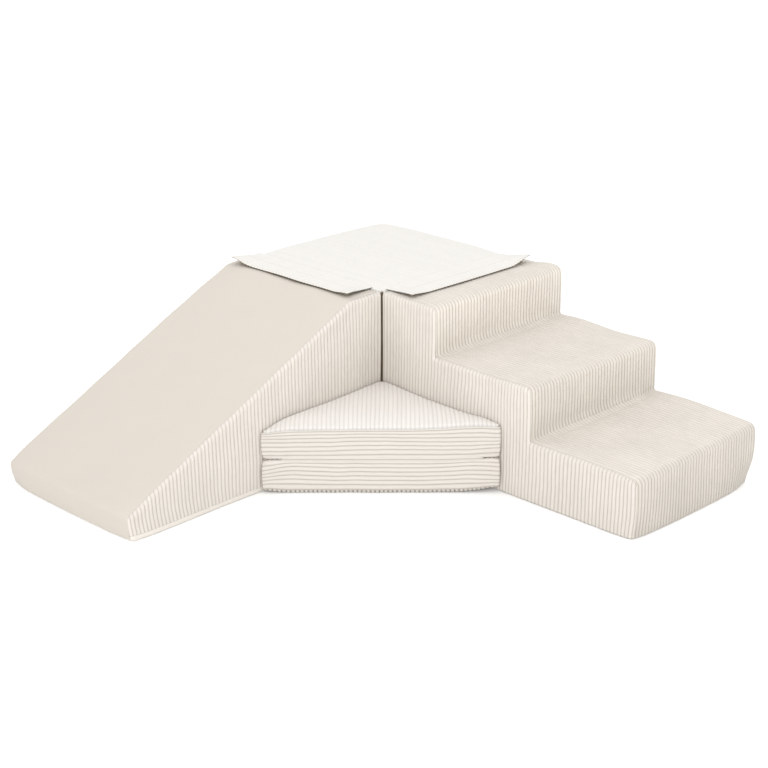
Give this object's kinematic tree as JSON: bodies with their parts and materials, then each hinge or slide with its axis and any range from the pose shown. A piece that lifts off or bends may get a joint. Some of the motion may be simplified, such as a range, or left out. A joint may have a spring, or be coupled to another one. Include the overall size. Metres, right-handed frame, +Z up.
{
  "type": "soft play foam climber",
  "caption": "Corner-shaped soft foam climber for toddlers: padded platform block with a slide wedge, a flight of steps and a fold-out triangular mat, in corduroy covers.",
  "frame": {"origin": "on the floor, in the middle of the whole footprint", "axes": "+Z up; the slide runs down towards -X and the steps towards -Y from the platform block, which stands in the +X +Y corner"},
  "size_m": [1.21, 1.21, 0.4021],
  "materials": {
    "ivory_corduroy": "matte",
    "cream_corduroy": "matte",
    "leatherette": "satin",
    "base_fabric": "matte",
    "foam": "matte",
    "hook_strip": "matte",
    "loop_strip": "matte",
    "zip_tape": "matte",
    "zip_slider": "satin"
  },
  "bodies": {
    "block": {"block_foam_core": "foam", "block_base_panel": "base_fabric", "block_side_band": "ivory_corduroy", "block_top_panel": "ivory_corduroy", "block_zip_chain": "zip_tape"},
    "block_zip": {"block_zip_slider": "zip_slider"},
    "flap_slide": {"flap_slide_panel": "ivory_corduroy", "flap_slide_hook_strip": "hook_strip"},
    "flap_stairs": {"flap_stairs_panel": "ivory_corduroy", "flap_stairs_hook_strip": "hook_strip"},
    "slide_module": {"slide_foam_core": "foam", "slide_ramp_panel": "leatherette", "slide_side_panel_near": "cream_corduroy", "slide_side_panel_far": "cream_corduroy", "slide_back_panel": "cream_corduroy", "slide_base_panel": "base_fabric", "slide_loop_strip": "loop_strip", "slide_zip_chain": "zip_tape"},
    "slide_zip": {"slide_zip_slider": "zip_slider"},
    "stairs_module": {"stairs_foam_bottom": "foam", "stairs_foam_middle": "foam", "stairs_foam_top": "foam", "stairs_tread_band": "cream_corduroy", "stairs_side_panel_near": "cream_corduroy", "stairs_side_panel_far": "cream_corduroy", "stairs_back_panel": "cream_corduroy", "stairs_base_panel": "base_fabric", "stairs_loop_strip": "loop_strip", "stairs_zip_chain": "zip_tape"},
    "stairs_zip": {"stairs_zip_slider": "zip_slider"},
    "mat_lower": {"mat_lower_foam": "foam", "mat_lower_border": "ivory_corduroy", "mat_lower_top_panel": "ivory_corduroy", "mat_lower_base_panel": "ivory_corduroy", "mat_lower_zip_chain": "zip_tape", "mat_hinge_welt": "ivory_corduroy"},
    "mat_lower_zip": {"mat_lower_zip_slider": "zip_slider"},
    "mat_upper": {"mat_upper_foam": "foam", "mat_upper_border": "ivory_corduroy", "mat_upper_top_panel": "ivory_corduroy", "mat_upper_inner_panel": "ivory_corduroy", "mat_upper_zip_chain": "zip_tape"},
    "mat_upper_zip": {"mat_upper_zip_slider": "zip_slider"}
  },
  "joints": [
    {"name": "slide_module_pull", "type": "slide", "parent": "block", "child": "slide_module", "axis": [-1, 0, 0], "range_m": [0, 0.5]},
    {"name": "stairs_module_pull", "type": "slide", "parent": "block", "child": "stairs_module", "axis": [0, -1, 0], "range_m": [0, 0.5]},
    {"name": "mat_pull", "type": "slide", "parent": "block", "child": "mat_lower", "axis": [-0.7071, -0.7071, 0], "range_m": [0, 0.45]},
    {"name": "mat_fold", "type": "hinge", "parent": "mat_lower", "child": "mat_upper", "pos_m": [-0.045, -0.045, 0.084], "axis": [0.7071, -0.7071, 0], "range_deg": [0, 180]},
    {"name": "flap_slide_hinge", "type": "hinge", "parent": "block", "child": "flap_slide", "pos_m": [0.1545, 0.38, 0.4025], "axis": [0, 1, 0], "range_deg": [0, 170]},
    {"name": "flap_stairs_hinge", "type": "hinge", "parent": "block", "child": "flap_stairs", "pos_m": [0.38, 0.1545, 0.405], "axis": [-1, 0, 0], "range_deg": [0, 155]},
    {"name": "block_zip_travel", "type": "slide", "parent": "block", "child": "block_zip", "axis": [0, 1, 0], "range_m": [0, 0.34]},
    {"name": "slide_zip_travel", "type": "slide", "parent": "slide_module", "child": "slide_zip", "axis": [-1, 0, 0], "range_m": [0, 0.48]},
    {"name": "stairs_zip_travel", "type": "slide", "parent": "stairs_module", "child": "stairs_zip", "axis": [0, 1, 0], "range_m": [0, 0.54]},
    {"name": "mat_lower_zip_travel", "type": "slide", "parent": "mat_lower", "child": "mat_lower_zip", "axis": [-1, 0, 0], "range_m": [0, 0.22]},
    {"name": "mat_upper_zip_travel", "type": "slide", "parent": "mat_upper", "child": "mat_upper_zip", "axis": [0, 1, 0], "range_m": [0, 0.22]}
  ]
}
